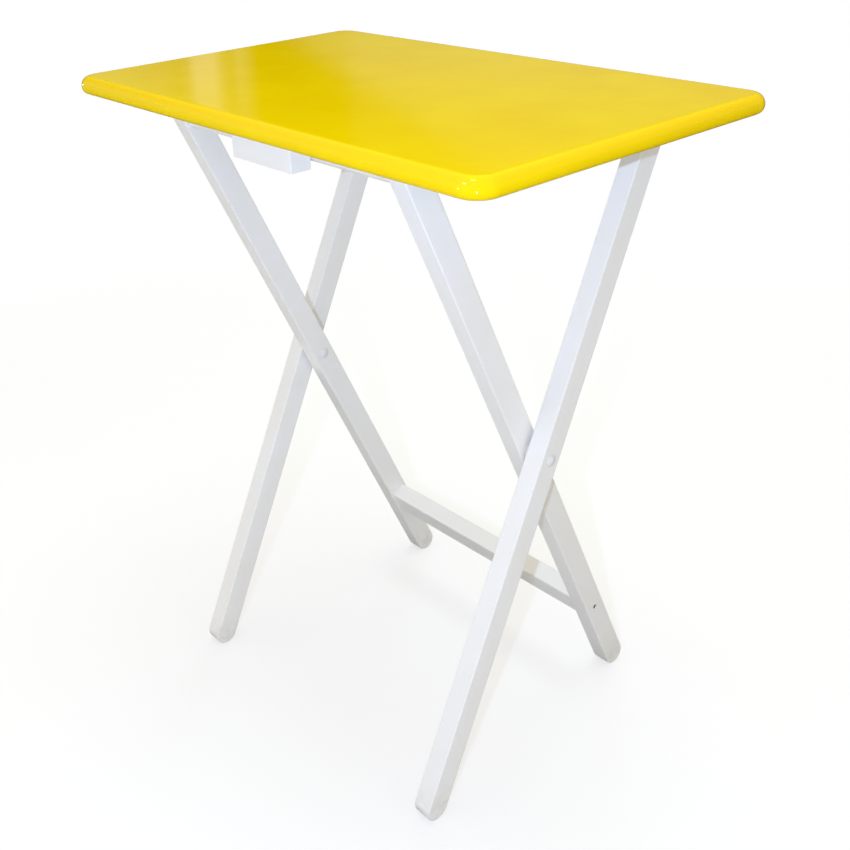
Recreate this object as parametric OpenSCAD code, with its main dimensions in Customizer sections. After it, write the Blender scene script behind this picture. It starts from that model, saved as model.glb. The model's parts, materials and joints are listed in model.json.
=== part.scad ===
// Folding tray table on two pairs of crossed legs.
// Origin on the floor under the middle of the tabletop. +X runs along the tabletop,
// -Y faces the person who sits at it, +Z is up. The table stands open.

/* [Tabletop] */
// Length of the tabletop, left to right
top_l = 560; // [460:5:700]
// Depth of the tabletop, front to back
top_d = 355; // [310:5:440]
// Thickness of the board
top_t = 17; // [14:0.5:25]
// Radius of the board's corners in plan
top_corner_r = 22; // [12:1:60]
// Round-over along the board's upper edge
edge_upper_r = 9; // [4:0.5:12]
// Round-over along the board's lower edge
edge_lower_r = 7; // [2:0.5:12]

/* [Legs] */
// Height of the tabletop above the floor
table_h = 660; // [600:5:740]
// Height of the scissor bolts above the floor
cross_h = 336; // [310:1:360]
// Width of a leg, seen from the end of the table
leg_w = 25; // [22:0.5:32]
// Thickness of a leg, seen from the front
leg_t = 20; // [18:0.5:26]
// Bevel along a leg's long edges
leg_bevel = 1; // [0.4:0.1:2.5]
// Distance from the board's end to the outer leg beside it
leg_inset = 91; // [70:1:120]
// Gap between the crossing legs, filled by the spacer
leg_gap = 4.5; // [3.6:0.1:8]
// Distance from the board's back edge to the top pivots
pivot_inset = 29; // [26:0.5:50]
// Distance from the board's front edge to the tops of the inner legs
rest_inset = 53; // [44:0.5:80]

/* [Crossbar and stretcher] */
// Diameter of the round crossbar between the inner legs
crossbar_d = 16; // [12:0.5:18]
// Distance that the crossbar lies below the centre of the legs' rounded tops
crossbar_set = 3; // [1:0.5:10]
// Depth of the crossbar's sockets in the inner legs
socket_depth = 10; // [6:0.5:13]
// Height of the stretcher's centre line above the floor
stretcher_h = 98; // [60:1:150]
// Height of the stretcher, measured along the legs
stretcher_w = 28; // [20:0.5:40]
// Thickness of the stretcher, measured across the legs
stretcher_t = 20; // [14:0.5:21]
// Length of the stretcher's tenons
tenon_l = 8; // [5:0.5:12]
// Shoulder left all round a tenon
tenon_shoulder = 5; // [3:0.5:6]

/* [Cleats and catch] */
// Width of the cleats under the board
cleat_w = 22; // [16:0.5:30]
// Depth of the cleats below the board
cleat_h = 22; // [20:0.5:30]
// Distance from the board's front edge to the cleats
cleat_front_inset = 51; // [25:1:80]
// Distance from the board's back edge to the cleats
cleat_back_inset = 14; // [10:0.5:16]
// Radius of the cleats' lower corners
cleat_end_r = 8; // [3:0.5:12]
// Length of the catch block, left to right
catch_l = 84; // [60:1:140]
// Thickness of the catch block's front wall
catch_t = 21; // [14:0.5:24]
// Depth of the catch block's front wall below the board
catch_drop = 28.5; // [26:0.5:36]
// Distance that the catch block's seat reaches back over the crossbar's centre
catch_seat = 7; // [4:0.5:12]

/* [Fasteners] */
// Outer diameter of the pivot sleeves
sleeve_d = 8; // [7:0.5:9]
// Diameter of the bolts inside the sleeves
bolt_d = 5; // [4:0.5:5.5]
// Diameter of the domed bolt heads
dome_d = 12; // [11:0.5:16]
// Height of the domed bolt heads
dome_h = 2.4; // [1.5:0.1:2.8]
// Diameter of the spacers and washers
washer_d = 18; // [13:0.5:22]
// Thickness of the washers at the top pivots
washer_t = 1; // [0.5:0.1:2]
// Diameter of the board screws' shanks
screw_d = 4; // [3:0.1:5]
// Head diameter of the board screws
screw_head_d = 8; // [6.5:0.1:9]
// Length of thread that the board screws have in the board
screw_bite = 10; // [6:0.5:12]
// Number of screws in each cleat
cleat_screw_count = 3; // [2:1:5]
// Distance from the cleat's front end to its first screw
cleat_screw_front = 25; // [12:1:60]
// Distance from the top pivot to the cleat's last screw
cleat_screw_back = 30; // [14:1:80]
// Distance between the two catch screws
catch_screw_pitch = 50; // [30:1:70]
// Diameter of the frame screws' shanks
frame_screw_d = 3.5; // [2.5:0.1:4]
// Head diameter of the frame screws
frame_screw_head_d = 5.6; // [5:0.1:6.5]
// Depth that the frame screws' heads are sunk in the legs
frame_screw_sink = 1.5; // [0.5:0.1:3]
// Length of thread that the frame screws have beyond the leg's joint face
frame_screw_bite = 24; // [16:1:40]

/* [Fits] */
// Radial clearance of a sleeve or shank in its hole
running_fit = 0.05; // [0.02:0.01:0.09]
// Clearance of the glued joints, on each side
joint_fit = 0.1; // [0.05:0.01:0.3]
// Clearance between the crossbar and the catch block
seat_gap = 0.3; // [0.2:0.05:1]
// Clearance between the legs' rounded tops and the board
end_gap = 0.5; // [0.3:0.05:1.5]

/* [Hidden] */
$fn = 72;
overcut = 1; // how far a cutting shape runs past the face it opens

// board
board_under = table_h - top_t;
upper_share = 0.55; // most of the board's thickness that the upper round-over takes
edge_flat = 0.5; // least upright stretch between the two round-overs
upper_r = min(edge_upper_r, top_t * upper_share);
lower_r = min(edge_lower_r, top_t - upper_r - edge_flat);

// leg frame, in the plane seen from the end of the table
leg_end_r = leg_w / 2;
pivot_drop = leg_end_r + end_gap;
pivot_y = top_d / 2 - pivot_inset;
rest_y = rest_inset - top_d / 2;
pivot_z = board_under - pivot_drop;
cross_y = (pivot_y + rest_y) / 2;
upper_rise = pivot_z - cross_h;
leg_lean = atan((pivot_y - rest_y) / 2 / upper_rise);
upper_len = upper_rise / cos(leg_lean);
lower_len = (cross_h - leg_end_r) / cos(leg_lean);

// stations along +X, from the inside out
outer_leg_x1 = top_l / 2 - leg_inset;
outer_leg_x0 = outer_leg_x1 - leg_t;
inner_leg_x1 = outer_leg_x0 - leg_gap;
inner_leg_x0 = inner_leg_x1 - leg_t;
cleat_x0 = outer_leg_x1 + washer_t;
cleat_x1 = cleat_x0 + cleat_w;
cleat_mid_x = (cleat_x0 + cleat_x1) / 2;

// crossbar and stretcher: stations along an inner leg, counted up from the scissor bolt
crossbar_r = crossbar_d / 2;
crossbar_at = upper_len - crossbar_set;
crossbar_y = cross_y - crossbar_at * sin(leg_lean);
crossbar_z = cross_h + crossbar_at * cos(leg_lean);
stretcher_at = -(cross_h - stretcher_h) / cos(leg_lean);

// catch block
catch_back_y = crossbar_y - crossbar_r - seat_gap;
catch_front_y = catch_back_y - catch_t;
catch_seat_y = crossbar_y + catch_seat;
catch_seat_z = crossbar_z + crossbar_r + seat_gap;

// cleats and their screws
cleat_y0 = cleat_front_inset - top_d / 2;
cleat_y1 = top_d / 2 - cleat_back_inset;
cleat_screw_first = cleat_y0 + cleat_screw_front;
cleat_screw_last = pivot_y - cleat_screw_back;
cleat_screw_step = (cleat_screw_last - cleat_screw_first) / (cleat_screw_count - 1);
cleat_screw_ys = [for (i = [0 : cleat_screw_count - 1]) cleat_screw_first + i * cleat_screw_step];
catch_screw_xs = [-catch_screw_pitch / 2, catch_screw_pitch / 2];
catch_screw_y = (catch_front_y + catch_back_y) / 2;

// screw proportions
drive_share = 0.55; // length of the cross recess as a share of the head
drive_w = 0.9;
drive_depth = 1;
tip_share = 0.35; // flat end of a screw's point as a share of its shank

// ---- placing ----

// Turns a piece drawn on the right-hand side into the left-hand one.
module left() mirror([1, 0, 0]) children();

// Local +Z runs up an outer leg from the scissor bolt.
module on_outer_leg() translate([0, cross_y, cross_h]) rotate([-leg_lean, 0, 0]) children();

// Local +Z runs up an inner leg from the scissor bolt.
module on_inner_leg() translate([0, cross_y, cross_h]) rotate([leg_lean, 0, 0]) children();

// Local origin on the right-hand top pivot's axis, in the plane x = 0.
module on_pivot() translate([0, pivot_y, pivot_z]) children();

// A cylinder along +X from x0 to x1.
module rod(x0, x1, r) translate([x0, 0, 0]) rotate([0, 90, 0]) cylinder(r = r, h = x1 - x0);

// ---- shared shapes ----

// A quarter disc with its square corner at the origin.
module quarter(r) intersection() {
    circle(r = r);
    square(r);
}

// Half of the board's section, from x = 0 out to its rounded edge, standing on y = 0.
module half_section(half) {
    square([half - max(upper_r, lower_r), top_t]);
    translate([0, lower_r]) square([half, top_t - upper_r - lower_r]);
    square([half - lower_r, lower_r]);
    translate([0, top_t - upper_r]) square([half - upper_r, upper_r]);
    translate([half - upper_r, top_t - upper_r]) quarter(upper_r);
    translate([half - lower_r, lower_r]) mirror([0, 1]) quarter(lower_r);
}

module board_section(half) {
    half_section(half);
    mirror([1, 0]) half_section(half);
}

// A leg drawn about the scissor bolt: round ends, bevelled long edges, from x0 to x0 + leg_t.
module leg_blank(x0) {
    section = [
        [0, leg_bevel], [leg_bevel, 0], [leg_t - leg_bevel, 0], [leg_t, leg_bevel],
        [leg_t, leg_w - leg_bevel], [leg_t - leg_bevel, leg_w], [leg_bevel, leg_w], [0, leg_w - leg_bevel]
    ];
    intersection() {
        translate([x0, 0, 0]) rotate([90, 0, 90]) linear_extrude(height = leg_t) {
            translate([-leg_end_r, -lower_len]) square([leg_w, lower_len + upper_len]);
            translate([0, upper_len]) circle(r = leg_end_r);
            translate([0, -lower_len]) circle(r = leg_end_r);
        }
        translate([x0, -leg_end_r, -lower_len - leg_w])
            linear_extrude(height = lower_len + upper_len + 2 * leg_w) polygon(section);
    }
}

// Turns a profile about the X axis: its x is the radius, its y the place along +X.
module turned() rotate([0, 90, 0]) rotate_extrude() children();

// Half section of a shallow dome that stands on y = 0.
module dome_profile() {
    ball_r = (dome_d * dome_d / 4 + dome_h * dome_h) / (2 * dome_h);
    intersection() {
        translate([0, dome_h - ball_r]) circle(r = ball_r, $fn = 144);
        square([dome_d / 2, dome_h]);
    }
}

// The nut half of a connector bolt: domed head below x0, sleeve from x0 to x1.
module barrel(x0, x1) {
    bore_r = bolt_d / 2 + running_fit;
    turned() translate([0, x0]) {
        mirror([0, 1]) dome_profile();
        square([sleeve_d / 2, bolt_d]);
        translate([bore_r, 0]) square([sleeve_d / 2 - bore_r, x1 - x0]);
    }
}

// The bolt half: domed head beyond x1, shank reaching in to x0.
module connector_bolt(x0, x1) turned() {
    translate([0, x1]) dome_profile();
    translate([0, x0]) square([bolt_d / 2, x1 - x0]);
}

// A flat ring along +X around a sleeve.
module ring(x0, x1) difference() {
    rod(x0, x1, washer_d / 2);
    rod(x0 - overcut, x1 + overcut, sleeve_d / 2 + running_fit);
}

// A countersunk screw: head face at z = 0, point at z = len.
module wood_screw(d, head_d, len) difference() {
    head_h = (head_d - d) / 2;
    union() {
        cylinder(d1 = head_d, d2 = d, h = head_h);
        cylinder(d = d, h = len - d);
        translate([0, 0, len - d]) cylinder(d1 = d, d2 = d * tip_share, h = d);
    }
    for (a = [0, 90]) rotate([0, 0, a])
        translate([-head_d * drive_share / 2, -drive_w / 2, -overcut])
            cube([head_d * drive_share, drive_w, drive_depth + overcut]);
}

// The hole that a wood screw needs, opened out to the surface above its head.
module screw_hole(d, head_d, len, sink = 0) {
    head_h = (head_d - d) / 2;
    translate([0, 0, -sink - overcut]) cylinder(d = head_d + 2 * running_fit, h = sink + overcut);
    cylinder(d1 = head_d + 2 * running_fit, d2 = d + 2 * running_fit, h = head_h);
    cylinder(d = d + 2 * running_fit, h = len + running_fit);
}

// ---- where the screws go ----

// Board screws point up from a piece's lower face, which is drop below the board.
module board_screw_at(x, y, drop) translate([x, y, board_under - drop]) children();

module cleat_screws_placed() for (y = cleat_screw_ys) board_screw_at(cleat_mid_x, y, cleat_h) children();

module catch_screws_placed() for (x = catch_screw_xs) board_screw_at(x, catch_screw_y, catch_drop) children();

// Frame screws run inwards along -X from the inner leg's outer face.
module frame_screw_at(station) on_inner_leg()
    translate([inner_leg_x1 - frame_screw_sink, 0, station]) rotate([0, -90, 0]) children();

cleat_screw_len = cleat_h + screw_bite;
catch_screw_len = catch_drop + screw_bite;
frame_screw_len = leg_t - frame_screw_sink + frame_screw_bite;

// ---- top ----

module tabletop() color("gold") translate([0, 0, board_under]) difference() {
    union() {
        rotate([90, 0, 90]) translate([0, 0, top_corner_r - top_l / 2])
            linear_extrude(height = top_l - 2 * top_corner_r) board_section(top_d / 2);
        rotate([90, 0, 0]) translate([0, 0, top_corner_r - top_d / 2])
            linear_extrude(height = top_d - 2 * top_corner_r) board_section(top_l / 2);
        for (x = [-1, 1], y = [-1, 1])
            translate([x * (top_l / 2 - top_corner_r), y * (top_d / 2 - top_corner_r), 0])
                rotate_extrude() half_section(top_corner_r);
    }
    translate([0, 0, -board_under]) {
        cleat_screws_placed() screw_hole(screw_d, screw_head_d, cleat_screw_len);
        left() cleat_screws_placed() screw_hole(screw_d, screw_head_d, cleat_screw_len);
        catch_screws_placed() screw_hole(screw_d, screw_head_d, catch_screw_len);
    }
}

module cleat_right() color("white") difference() {
    translate([cleat_x0, 0, board_under]) rotate([90, 0, 90]) linear_extrude(height = cleat_w) {
        translate([cleat_y0, cleat_end_r - cleat_h]) square([cleat_y1 - cleat_y0, cleat_h - cleat_end_r]);
        translate([cleat_y0 + cleat_end_r, -cleat_h])
            square([cleat_y1 - cleat_y0 - 2 * cleat_end_r, cleat_h]);
        for (y = [cleat_y0 + cleat_end_r, cleat_y1 - cleat_end_r])
            translate([y, cleat_end_r - cleat_h]) circle(r = cleat_end_r);
    }
    on_pivot() rod(cleat_x0 - overcut, cleat_x1 + overcut, sleeve_d / 2 + running_fit);
    cleat_screws_placed() screw_hole(screw_d, screw_head_d, cleat_screw_len);
}

module cleat_left() left() cleat_right();

module cleat_screws_right() color("silver")
    cleat_screws_placed() wood_screw(screw_d, screw_head_d, cleat_screw_len);

module cleat_screws_left() left() cleat_screws_right();

module catch_block() color("white") difference() {
    rotate([90, 0, 90]) linear_extrude(height = catch_l, center = true) difference() {
        translate([catch_front_y, board_under - catch_drop])
            square([catch_seat_y - catch_front_y, catch_drop]);
        translate([crossbar_y, crossbar_z]) circle(r = crossbar_r + seat_gap);
        translate([catch_back_y, board_under - catch_drop - overcut])
            square([catch_seat_y - catch_back_y + overcut, crossbar_z - board_under + catch_drop + overcut]);
        translate([crossbar_y, crossbar_z - overcut])
            square([catch_seat + overcut, catch_seat_z - crossbar_z + overcut]);
    }
    catch_screws_placed() screw_hole(screw_d, screw_head_d, catch_screw_len);
}

module catch_screws() color("silver")
    catch_screws_placed() wood_screw(screw_d, screw_head_d, catch_screw_len);

// ---- outer legs ----

module outer_leg_right() color("white") on_outer_leg() difference() {
    leg_blank(outer_leg_x0);
    for (z = [0, upper_len]) translate([0, 0, z])
        rod(outer_leg_x0 - overcut, outer_leg_x1 + overcut, sleeve_d / 2 + running_fit);
}

module outer_leg_left() left() outer_leg_right();

// ---- inner legs ----

module inner_leg_right() color("white") difference() {
    on_inner_leg() difference() {
        leg_blank(inner_leg_x0);
        rod(inner_leg_x0 - overcut, inner_leg_x1 + overcut, sleeve_d / 2 + running_fit);
        translate([0, 0, crossbar_at])
            rod(inner_leg_x0 - overcut, inner_leg_x0 + socket_depth + joint_fit, crossbar_r + running_fit);
        translate([0, 0, stretcher_at]) tenon(joint_fit);
    }
    for (z = [crossbar_at, stretcher_at]) frame_screw_at(z)
        screw_hole(frame_screw_d, frame_screw_head_d, frame_screw_len, frame_screw_sink);
}

module inner_leg_left() left() inner_leg_right();

module crossbar() color("white") difference() {
    on_inner_leg() translate([0, 0, crossbar_at])
        rod(-inner_leg_x0 - socket_depth, inner_leg_x0 + socket_depth, crossbar_r);
    frame_screw_at(crossbar_at) screw_hole(frame_screw_d, frame_screw_head_d, frame_screw_len);
    left() frame_screw_at(crossbar_at) screw_hole(frame_screw_d, frame_screw_head_d, frame_screw_len);
}

// The stretcher's tenon at its right-hand end, grown by fit for the mortise.
module tenon(fit = 0) {
    w = stretcher_t - 2 * tenon_shoulder + 2 * fit;
    h = stretcher_w - 2 * tenon_shoulder + 2 * fit;
    translate([inner_leg_x0 - overcut, -w / 2, -h / 2]) cube([tenon_l + overcut + fit, w, h]);
}

module stretcher() color("white") difference() {
    on_inner_leg() translate([0, 0, stretcher_at]) {
        translate([-inner_leg_x0, -stretcher_t / 2, -stretcher_w / 2])
            cube([2 * inner_leg_x0, stretcher_t, stretcher_w]);
        tenon();
        left() tenon();
    }
    frame_screw_at(stretcher_at) screw_hole(frame_screw_d, frame_screw_head_d, frame_screw_len);
    left() frame_screw_at(stretcher_at) screw_hole(frame_screw_d, frame_screw_head_d, frame_screw_len);
}

module frame_screw(station) color("dimgray")
    frame_screw_at(station) wood_screw(frame_screw_d, frame_screw_head_d, frame_screw_len);

module crossbar_screw_right() frame_screw(crossbar_at);

module crossbar_screw_left() left() crossbar_screw_right();

module stretcher_screw_right() frame_screw(stretcher_at);

module stretcher_screw_left() left() stretcher_screw_right();

// ---- scissor bolts ----

module scissor_barrel_right() color("white") on_inner_leg() barrel(inner_leg_x0, outer_leg_x1 - overcut);

module scissor_barrel_left() left() scissor_barrel_right();

module scissor_bolt_right() color("white") on_inner_leg()
    connector_bolt(inner_leg_x0 + 2 * bolt_d, outer_leg_x1);

module scissor_bolt_left() left() scissor_bolt_right();

module scissor_spacer_right() color("ivory") on_inner_leg() ring(inner_leg_x1, outer_leg_x0);

module scissor_spacer_left() left() scissor_spacer_right();

// ---- top pivots ----

module pivot_barrel_right() color("white") on_pivot() barrel(outer_leg_x0, cleat_x1 - overcut);

module pivot_barrel_left() left() pivot_barrel_right();

module pivot_bolt_right() color("white") on_pivot()
    connector_bolt(outer_leg_x0 + 2 * bolt_d, cleat_x1);

module pivot_bolt_left() left() pivot_bolt_right();

module pivot_washer_right() color("ivory") on_pivot() ring(outer_leg_x1, cleat_x0);

module pivot_washer_left() left() pivot_washer_right();

tabletop();
cleat_left();
cleat_right();
cleat_screws_left();
cleat_screws_right();
catch_block();
catch_screws();
outer_leg_left();
outer_leg_right();
inner_leg_left();
inner_leg_right();
crossbar();
stretcher();
crossbar_screw_left();
crossbar_screw_right();
stretcher_screw_left();
stretcher_screw_right();
scissor_bolt_left();
scissor_bolt_right();
scissor_barrel_left();
scissor_barrel_right();
scissor_spacer_left();
scissor_spacer_right();
pivot_bolt_left();
pivot_bolt_right();
pivot_barrel_left();
pivot_barrel_right();
pivot_washer_left();
pivot_washer_right();
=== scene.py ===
# Folding tray table: a lacquered top on two white leg frames that cross like scissors.
import json
import math

import bpy
import numpy as np
from mathutils import Matrix, Vector
from mathutils.geometry import tessellate_polygon


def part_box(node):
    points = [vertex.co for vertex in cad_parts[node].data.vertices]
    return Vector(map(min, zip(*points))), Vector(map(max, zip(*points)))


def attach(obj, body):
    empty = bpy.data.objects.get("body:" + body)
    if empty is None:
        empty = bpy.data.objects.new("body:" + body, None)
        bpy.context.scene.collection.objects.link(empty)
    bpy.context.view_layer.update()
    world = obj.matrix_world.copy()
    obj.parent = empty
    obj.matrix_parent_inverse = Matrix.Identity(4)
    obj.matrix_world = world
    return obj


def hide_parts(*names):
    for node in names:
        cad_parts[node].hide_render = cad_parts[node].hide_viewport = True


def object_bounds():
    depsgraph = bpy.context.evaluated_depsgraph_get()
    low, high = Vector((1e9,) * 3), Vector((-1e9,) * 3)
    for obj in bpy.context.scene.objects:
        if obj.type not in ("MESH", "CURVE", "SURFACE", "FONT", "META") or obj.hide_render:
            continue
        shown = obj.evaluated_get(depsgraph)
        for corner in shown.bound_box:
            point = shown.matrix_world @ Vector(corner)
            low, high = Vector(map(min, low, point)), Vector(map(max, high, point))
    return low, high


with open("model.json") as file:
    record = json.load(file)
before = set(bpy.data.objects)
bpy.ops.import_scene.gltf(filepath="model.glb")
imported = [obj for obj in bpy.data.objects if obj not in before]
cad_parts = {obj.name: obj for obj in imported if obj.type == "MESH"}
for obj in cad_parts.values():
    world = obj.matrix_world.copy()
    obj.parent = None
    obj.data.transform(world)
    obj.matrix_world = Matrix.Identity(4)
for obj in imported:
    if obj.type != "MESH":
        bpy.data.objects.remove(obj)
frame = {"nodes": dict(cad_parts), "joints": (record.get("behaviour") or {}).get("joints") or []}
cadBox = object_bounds()
jointPlace = {joint["name"]: np.array(joint["pos_m"], float) for joint in frame["joints"]}
crossing = jointPlace["leg_fold"]  # scissor bolts, seen from the end of the table
pivot = jointPlace["pivot_turn"]  # top pivots
mm = 0.001


# A shape is (places, faces, rub): an array of points, lists of point numbers, and 0 to 1 along worn edges.


def ringLoop(corners, radii, inset, steps):
    # A polygon moved inwards by inset, with its corners rounded. Each corner slides along its mitre
    # (sum of the two edge normals over 1 + their dot product). The arc's centre lies one radius down
    # that mitre, and its points are centre + radius * (cos, sin) over the angle that the outline turns.
    corners = np.asarray(corners, float)
    into = corners - np.roll(corners, 1, 0)
    into /= np.linalg.norm(into, axis=1)[:, None]
    out = np.roll(into, -1, 0)
    normalIn = np.stack([into[:, 1], -into[:, 0]], 1)
    normalOut = np.stack([out[:, 1], -out[:, 0]], 1)
    turn = np.arctan2(into[:, 0] * out[:, 1] - into[:, 1] * out[:, 0], (into * out).sum(1))
    mitre = (normalIn + normalOut) / (1 + (normalIn * normalOut).sum(1))[:, None]
    side = np.sign(turn)
    radius = np.maximum(np.asarray(radii, float) - side * inset, 0.02 * mm)
    centre = corners - mitre * (inset + side * radius)[:, None]
    start = np.arctan2(side * normalIn[:, 1], side * normalIn[:, 0])
    angle = start[:, None] + turn[:, None] * np.linspace(0, 1, steps + 1)
    arc = np.stack([np.cos(angle), np.sin(angle)], -1) * radius[:, None, None]
    return (centre[:, None] + arc).reshape(-1, 2)


def bands(rows, count, first=0):
    # Four-sided faces between neighbouring rings of count points; the last point joins the first.
    row = first + count * np.arange(rows - 1)[:, None]
    here, there = np.arange(count)[None], (np.arange(count)[None] + 1) % count
    faces = np.stack([row + here, row + there, row + count + there, row + count + here], -1)
    return faces.reshape(-1, 4).tolist()


def easedPlate(corners, radii, height, lowEase, highEase, cornerSteps=6, edgeSteps=5, hold=0.6 * mm):
    # A flat plate of the outline's shape in (a, b), height thick in h. Ring by ring from the lower face
    # to the upper: inset = ease * (1 - sin t) and rise = ease * (1 - cos t) for t from 0 to a quarter
    # turn at the lower edge, the same upside down at the upper edge, and one more ring inside each face.
    t = np.linspace(0, np.pi / 2, edgeSteps + 1)
    inset = np.r_[lowEase + hold, lowEase * (1 - np.sin(t)), highEase * (1 - np.cos(t)), highEase + hold]
    rise = np.r_[0, lowEase * (1 - np.cos(t)), height - highEase * (1 - np.sin(t)), height]
    rings = np.stack([ringLoop(corners, radii, s, cornerSteps) for s in inset])
    rows, count = rings.shape[:2]
    places = np.concatenate([rings, np.broadcast_to(rise[:, None, None], (rows, count, 1))], 2)
    arcRub = np.r_[0, np.sin(2 * t), np.sin(2 * t), 0]
    small = np.asarray(radii, float) < 3 * mm
    smallCorner = small[:, None] * np.sin(np.linspace(0, np.pi, cornerSteps + 1))
    rub = np.maximum(arcRub[:, None], smallCorner.reshape(1, -1))
    faces = bands(rows, count)
    faces.append(list(range(count))[::-1])
    faces.append(list(range((rows - 1) * count, rows * count)))
    return places.reshape(-1, 3), faces, rub.reshape(-1)


def sunkHoles(shape, faceAt, normal, across, centres, profile, steps=28):
    # Cuts round recesses into one flat face. A recess is a stack of circles, centre + radius * (cos, sin)
    # in the face's plane less depth along its normal, through each (radius, depth) of the profile.
    # The face itself becomes triangles between its own outline and the mouths.
    places, faces, rub = shape
    normal, across = np.asarray(normal, float), np.asarray(across, float)
    along = np.cross(normal, across)
    angle = np.linspace(0, 2 * np.pi, steps, endpoint=False)
    circle = np.cos(angle)[:, None] * across + np.sin(angle)[:, None] * along
    radius, depth = np.array(profile, float).T
    faces = list(faces)
    border = faces.pop(faceAt)
    outlines, numbers = [places[border]], list(border)
    stack = [places]
    first = len(places)
    for centre in np.asarray(centres, float):
        rings = centre + radius[:, None, None] * circle - depth[:, None, None] * normal
        stack.append(rings.reshape(-1, 3))
        faces += bands(len(radius), steps, first)
        faces.append(list(range(first + (len(radius) - 1) * steps, first + len(radius) * steps)))
        outlines.append(rings[0])
        numbers += list(range(first, first + steps))
        first += len(radius) * steps
    flat = np.concatenate(outlines)
    for tri in tessellate_polygon([[Vector(p) for p in line] for line in outlines]):
        a, b, c = flat[list(tri)]
        ordered = tri if np.dot(np.cross(b - a, c - a), normal) > 0 else tri[::-1]
        faces.append([numbers[k] for k in ordered])
    places = np.concatenate(stack)
    return places, faces, np.r_[rub, np.zeros(len(places) - len(rub))]


def flatFaceOn(shape, axis, value):
    # Number of the largest face whose points all lie at value along the axis.
    places, faces, _ = shape
    best, bestSpan = None, -1.0
    for number, face in enumerate(faces):
        points = places[face]
        if np.abs(points[:, axis] - value).max() < 1e-7:
            span = float(np.prod(np.sort(np.ptp(points, axis=0))[1:]))
            if span > bestSpan:
                best, bestSpan = number, span
    return best


def turned(profile, steps=40, closed=False):
    # A profile of (x, radius) points turned about the X axis: (x, radius * cos, radius * sin).
    # It runs from a point on the axis to another, or it is a closed section that makes a ring.
    line = np.array(profile, float)
    angle = np.linspace(0, 2 * np.pi, steps, endpoint=False)
    body = line if closed else line[1:-1]
    x, radius = body[:, :1], body[:, 1:]
    across = np.broadcast_to(x, (len(body), steps))
    rings = np.stack([across, radius * np.cos(angle), radius * np.sin(angle)], -1)
    places = rings.reshape(-1, 3)
    faces = bands(len(body), steps)
    here, there = np.arange(steps), (np.arange(steps) + 1) % steps
    last = (len(body) - 1) * steps
    if closed:
        faces += np.stack([last + here, last + there, there, here], -1).tolist()
    else:
        poles = np.array([[line[0, 0], 0, 0], [line[-1, 0], 0, 0]])
        low, high = len(places), len(places) + 1
        places = np.concatenate([places, poles])
        faces += np.stack([np.full(steps, low), there, here], -1).tolist()
        faces += np.stack([np.full(steps, high), last + here, last + there], -1).tolist()
    return places, faces, np.zeros(len(places))


def placed(shape, angle=0.0, at=(0, 0, 0), fromPlate=True):
    # Plate axes (a, b, h) become (y, z, x), then the shape leans by angle about X and moves to its place.
    places, faces, rub = shape
    if fromPlate:
        places = places[:, [2, 0, 1]]
    c, s = math.cos(angle), math.sin(angle)
    lean = np.array([[1, 0, 0], [0, c, -s], [0, s, c]])
    return places @ lean.T + np.asarray(at, float), faces, rub


def mirrored(shape):
    # The left-hand twin: x changes sign and each face runs the other way round.
    places, faces, rub = shape
    return places * (-1, 1, 1), [face[::-1] for face in faces], rub


def boxOf(node):
    return (np.array(corner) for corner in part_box(node))


def addPiece(name, shape, material, body, nodes):
    places, faces, rub = shape
    mesh = bpy.data.meshes.new(name)
    mesh.from_pydata(places, [], faces)
    mesh.attributes.new("rub", "FLOAT", "POINT").data.foreach_set("value", rub.astype(np.float32))
    mesh.shade_smooth()
    mesh.materials.append(material)
    mesh.update()
    piece = bpy.data.objects.new(name, mesh)
    bpy.context.scene.collection.objects.link(piece)
    weigh = piece.modifiers.new("flatFaces", "WEIGHTED_NORMAL")  # broad faces stay flat beside round edges
    weigh.weight = 80
    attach(piece, body)
    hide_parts(*nodes)


def addNode(tree, kind, settings=None, inputs=None):
    node = tree.nodes.new(kind)
    for key, value in (settings or {}).items():
        setattr(node, key, value)
    for key, value in (inputs or {}).items():
        if isinstance(value, bpy.types.NodeSocket):
            tree.links.new(value, node.inputs[key])
        else:
            node.inputs[key].default_value = value
    return node


def newGroup(name, inputs, outputs):
    tree = bpy.data.node_groups.new(name, "ShaderNodeTree")
    for label, kind, value in inputs:
        socket = tree.interface.new_socket(label, in_out="INPUT", socket_type=kind)
        if value is not None:
            socket.default_value = value
    for label, kind in outputs:
        tree.interface.new_socket(label, in_out="OUTPUT", socket_type=kind)
    return tree, tree.nodes.new("NodeGroupInput"), tree.nodes.new("NodeGroupOutput")


def mathNode(tree, operation, a, b=0.5, c=0.5, clamp=False):
    settings = {"operation": operation, "use_clamp": clamp}
    return addNode(tree, "ShaderNodeMath", settings, {0: a, 1: b, 2: c}).outputs[0]


def noiseNode(tree, vector, scale, detail=2.0, roughness=0.5):
    inputs = {"Vector": vector, "Scale": scale, "Detail": detail, "Roughness": roughness}
    return addNode(tree, "ShaderNodeTexNoise", {}, inputs).outputs["Fac"]


def rangeNode(tree, value, low, high, outLow=0.0, outHigh=1.0):
    inputs = {"Value": value, "From Min": low, "From Max": high, "To Min": outLow, "To Max": outHigh}
    return addNode(tree, "ShaderNodeMapRange", {}, inputs).outputs["Result"]


def heightNode(tree):
    # Height above the floor, from the piece's own coordinates.
    here = addNode(tree, "ShaderNodeTexCoord").outputs["Object"]
    return addNode(tree, "ShaderNodeSeparateXYZ", {}, {0: here}).outputs["Z"]


def mixColour(tree, share, first, second):
    node = addNode(tree, "ShaderNodeMix", {"data_type": "RGBA"}, {"Factor": share})
    for key, value in (("A", first), ("B", second)):
        socket = next(s for s in node.inputs if s.name == key and s.type == "RGBA")
        if isinstance(value, bpy.types.NodeSocket):
            tree.links.new(value, socket)
        else:
            socket.default_value = value
    return next(s for s in node.outputs if s.type == "RGBA")


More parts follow.
